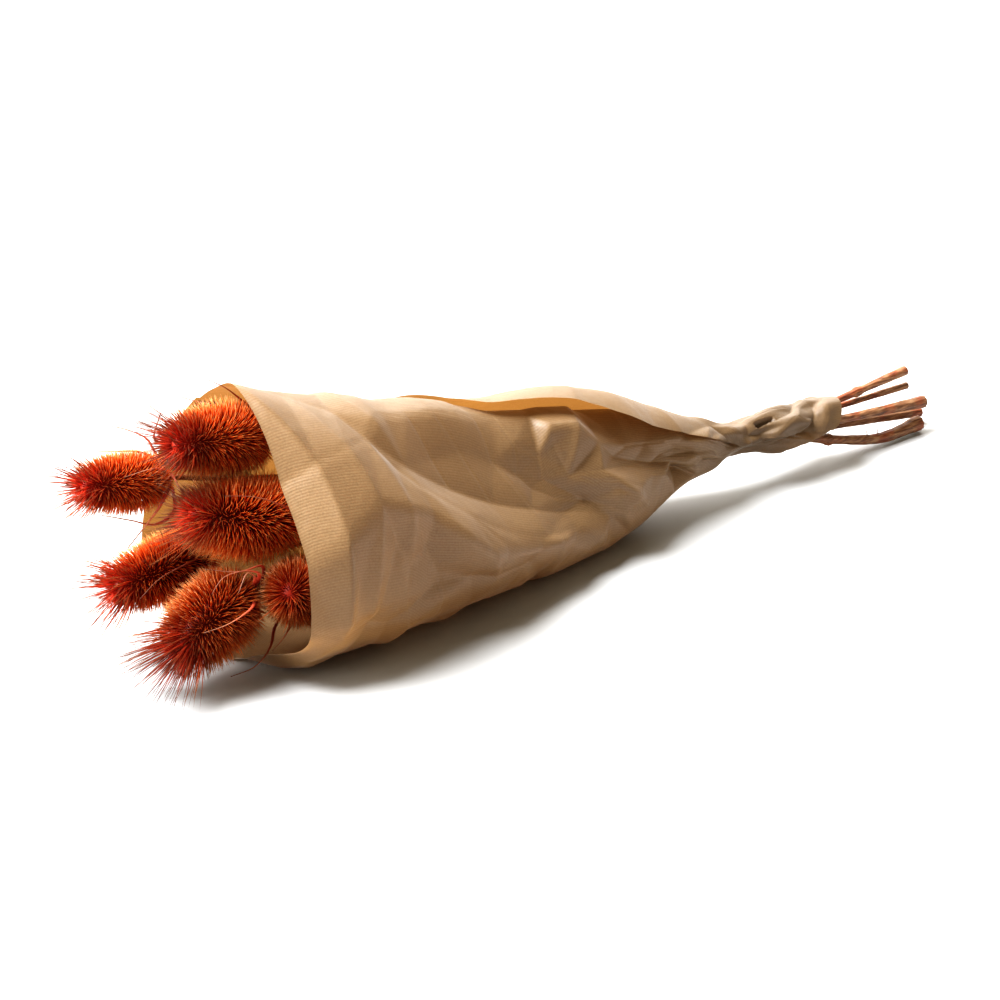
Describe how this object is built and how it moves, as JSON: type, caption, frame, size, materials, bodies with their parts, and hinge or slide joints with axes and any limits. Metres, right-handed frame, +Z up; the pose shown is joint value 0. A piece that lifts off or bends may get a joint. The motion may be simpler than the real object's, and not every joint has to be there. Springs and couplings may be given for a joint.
{
  "type": "wrapped teasel bunch",
  "caption": "Bunch of dyed, dried teasel seed heads on cut stems, rolled in a cone of brown kraft paper with a crumpled sleeve, lying on its side.",
  "frame": {"origin": "on the surface the bunch lies on, under the middle of its box", "axes": "+X along the bunch towards the cut stems, so that the seed heads are at -X; +Z up"},
  "size_m": [0.6648, 0.1704, 0.162],
  "materials": {
    "kraft_paper": "matte, finely ribbed",
    "dyed_spines": "dyed orange-red, dry",
    "dyed_stem": "dyed brown, dry"
  },
  "bodies": {
    "root": {"paper_wrap": "kraft_paper", "head_a": "dyed_spines", "head_b": "dyed_spines", "head_c": "dyed_spines", "head_d": "dyed_spines", "head_e": "dyed_spines", "head_f": "dyed_spines", "stem_a": "dyed_stem", "stem_b": "dyed_stem", "stem_c": "dyed_stem", "stem_d": "dyed_stem", "stem_e": "dyed_stem"}
  },
  "joints": []
}
